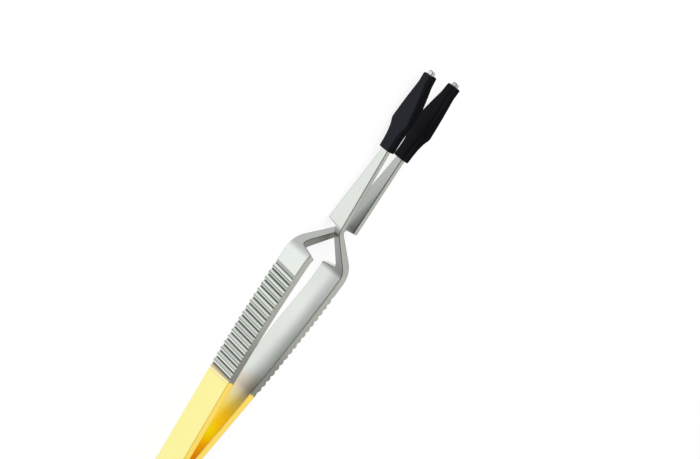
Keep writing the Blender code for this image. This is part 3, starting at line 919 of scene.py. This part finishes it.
def boot_sections(track):
    """Rings of the boot's skin from the collar to the tip and back through its bore."""
    fine = np.linspace(0.0, track.boot, BOOT_SAMPLES)
    places = BOOT_PLACES * track.boot / BOOT_LENGTH
    window = np.hanning(BOOT_EASING) / np.hanning(BOOT_EASING).sum()

    def eased(sizes):
        padded = np.pad(np.interp(fine, places, sizes), BOOT_EASING // 2, mode="edge")
        return np.convolve(padded, window, mode="valid")

    sizes = [eased(row) for row in (BOOT_OUTER_WIDTHS, BOOT_INNER_WIDTHS, BOOT_OUTER_WALLS,
                                    BOOT_INNER_WALLS, BOOT_SIDE_HOLLOWS)]

    def skin(along, shrink=0.0):
        outer, inner, behind, before, hollow = (float(np.interp(along, fine, row)) for row in sizes)
        half = float(track.thick(track.collar + along)) / 2 - shrink
        radius = max(BOOT_EDGE_RADIUS - 0.5 * shrink, BOOT_LEAST_RADIUS)
        return along, ring(outer - 2 * shrink, inner - 2 * shrink, half + behind, half + before, radius,
                           hollow)

    def bore(along):
        s = track.collar + along
        width, half = track.blade_width(s) + 2 * BOOT_GRIP, float(track.thick(s)) / 2 + BOOT_GRIP
        return along, ring(width, width, half, half, EDGE_RADIUS)

    lip = BOOT_LIP_RADIUS
    rounding = [(lip * (1 - math.cos(a)), lip * (1 - math.sin(a))) for a in BOOT_LIP_ANGLES]
    sections = [skin(along, shrink) for along, shrink in rounding]
    sections += [skin(along) for along in np.linspace(BOOT_LIP_ROOM, track.boot - BOOT_LIP_ROOM, BOOT_RINGS)]
    sections += [skin(track.boot - along, shrink) for along, shrink in reversed(rounding)]
    return sections + [bore(along) for along in np.linspace(track.boot, 0.0, BORE_RINGS)]


def boot_piece(name, track, rubber):
    """Boot lofted through its rings, with its broad outer face marked for painted light."""
    work = bmesh.new()
    lit_broad = work.verts.layers.float.new("broad_face")
    sections = boot_sections(track)
    rings = []
    for along, points in sections:
        s = np.full(len(points), track.collar + along)
        places = track.beside(s, np.array([p.x for p in points]), np.array([p.y for p in points]))
        rings.append([work.verts.new(place) for place in places])
    for line, following in zip(rings, rings[1:] + rings[:1]):
        for k in range(len(line)):
            work.faces.new((line[k - 1], line[k], following[k], following[k - 1]))
    bmesh.ops.recalc_face_normals(work, faces=work.faces)
    work.normal_update()
    for (along, _), line in zip(sections, rings):
        heading = float(np.interp(track.collar + along, track.s, track.heading))
        left = Vector((-math.sin(heading), math.cos(heading), 0.0))
        for vert in line:
            # Marks the broad face turned outwards, which gets painted light
            share = clamped((-vert.normal.dot(left) - LIT_FACE_FROM) / LIT_FACE_REACH)
            vert[lit_broad] = share * share * (3 - 2 * share)
    for face in work.faces:
        face.smooth = True
    mesh = bpy.data.meshes.new(name)
    work.to_mesh(mesh)
    work.free()
    mesh.materials.append(rubber)
    return placed(name, mesh)


# The two arms

gold, steel, rubber = gold_plate(), spring_steel(Track()), black_rubber()
tree = press_and_bend()
for side in "ab":
    track = Track(JAW_LEAN[side], JAW_SHORT[side])
    work = Blank(track).mesh()
    press_tail(work)
    path = path_curve(track)
    values = {**PRESS_SIZES, "Path": path, "Twist": GRIP_TWIST[side]}
    rear = made_plain(f"plated_spring_{side}", stretch_of(work, "rear", -math.inf, PLATED_LENGTH), tree,
                      {**values, "Finish": gold})
    front = made_plain(f"ribbed_grip_jaw_{side}", stretch_of(work, "front", PLATED_LENGTH, math.inf), tree,
                       {**values, "Finish": steel})
    boot = boot_piece(f"rubber_boot_{side}", track, rubber)
    work.free()
    bpy.data.objects.remove(path)

    for piece in (rear, front, boot):
        set_in_place(piece, side)
    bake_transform(rear)
    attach(front, f"arm_{side}")
    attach(boot, f"arm_{side}")
    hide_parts(f"tail_leaf_{side}", f"spring_leaf_{side}")
    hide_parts(f"grip_jaw_{side}")
    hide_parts(f"tip_boot_{side}")

weld = weld_metal()
for name in ("weld_nugget_1", "weld_nugget_2"):
    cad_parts[name].material_slots[0].material = weld


# Studio

FLOOR_SIZE = 6.0
FLOOR_TONE = 0.92
FLOOR_SHOWN_WHITE = 0.84
SKY_LEVEL = 0.85
DARK_CARD = (-0.07, -0.71, 0.70)
DARK_CARD_DEPTH, DARK_CARD_EDGE, DARK_CARD_REACH = 0.32, 0.55, 0.35
CAMERA_AIM = (26.19, -2.25, 5.99)
CAMERA_RIGHT = (0.57715, -0.60191, 0.55191)
CAMERA_UP = (0.81337, 0.36327, -0.45438)
CAMERA_DISTANCE = 2315.2 * MM
CAMERA_LENS, CAMERA_SENSOR, CAMERA_CLIP = 416.5, 36.0, 20.0


def studio_floor():
    """Matt floor that keeps the shadows, and shows white to the camera and in the metal."""
    bpy.ops.mesh.primitive_plane_add(size=FLOOR_SIZE)
    floor = bpy.context.object
    floor.name = "studio_floor"
    material = bpy.data.materials.new("pale_floor")
    material.use_nodes = True
    material.node_tree.nodes.clear()
    nodes = Nodes(material.node_tree)
    ray = nodes.add("ShaderNodeLightPath").out
    matt = nodes.add("ShaderNodeBsdfDiffuse", (), {"Color": grey(FLOOR_TONE)})
    glow = nodes.add("ShaderNodeEmission", (), {"Color": grey(1.0), "Strength": 1.0})
    mirrored = (ray("Is Glossy Ray") + ray("Is Transmission Ray")).clamp()
    shown = (FLOOR_SHOWN_WHITE * ray("Is Camera Ray") + mirrored).clamp()
    mixed = nodes.add("ShaderNodeMixShader", (), {0: shown, 1: matt, 2: glow})
    nodes.add("ShaderNodeOutputMaterial", (), {"Surface": mixed})
    floor.data.materials.append(material)


def studio_sky():
    """Even sky, white to the camera, with a darker card on one side for the metal to mirror."""
    world = bpy.data.worlds.new("studio_sky")
    bpy.context.scene.world = world
    world.use_nodes = True
    world.node_tree.nodes.clear()
    nodes = Nodes(world.node_tree)
    shown = nodes.add("ShaderNodeLightPath").out("Is Camera Ray")
    way = nodes.add("ShaderNodeTexCoord", out="Generated")
    towards = nodes.vectors("DOT_PRODUCT", way, DARK_CARD, out="Value")
    card = ((towards - DARK_CARD_EDGE) / DARK_CARD_REACH).clamp().smooth()
    level = SKY_LEVEL - DARK_CARD_DEPTH * card
    sky = nodes.add("ShaderNodeBackground", (),
                    {"Color": grey(1.0), "Strength": level * (1.0 - shown) + shown})
    nodes.add("ShaderNodeOutputWorld", (), {"Surface": sky})


def lamp(name, place, aim, size, power, mirrored):
    light = bpy.data.lights.new(name, "AREA")
    light.shape = "DISK"
    light.size = size
    light.energy = power
    item = placed(name, light)
    item.visible_glossy = mirrored
    item.location = place
    item.rotation_mode = "QUATERNION"
    item.rotation_quaternion = (Vector(place) - Vector(aim)).to_track_quat("Z", "Y")


def camera():
    """Long lens at the photograph's angle: the aim, in millimetres, is at the middle of the picture."""
    data = bpy.data.cameras.new("camera")
    item = placed("camera", data)
    right, up = Vector(CAMERA_RIGHT), Vector(CAMERA_UP)
    right.normalize()
    up = (up - right * up.dot(right)).normalized()
    back = right.cross(up)
    data.sensor_width = CAMERA_SENSOR
    data.lens = CAMERA_LENS
    data.clip_end = CAMERA_CLIP
    stand = Matrix.Translation(Vector(CAMERA_AIM) * MM + back * CAMERA_DISTANCE)
    item.matrix_world = stand @ Matrix((right, up, back)).transposed().to_4x4()
    bpy.context.scene.camera = item


studio_floor()
studio_sky()
lamp("key", place=(0.6, 0.42, 0.62), aim=(0.0, 0.0, 0.0), size=0.6, power=6.5, mirrored=False)
lamp("tail_edge", place=(-0.085, -0.284, 0.29), aim=(-0.053, 0.0, 0.01), size=0.1, power=0.012,
     mirrored=True)
camera()
bpy.context.scene.view_settings.view_transform = "Standard"
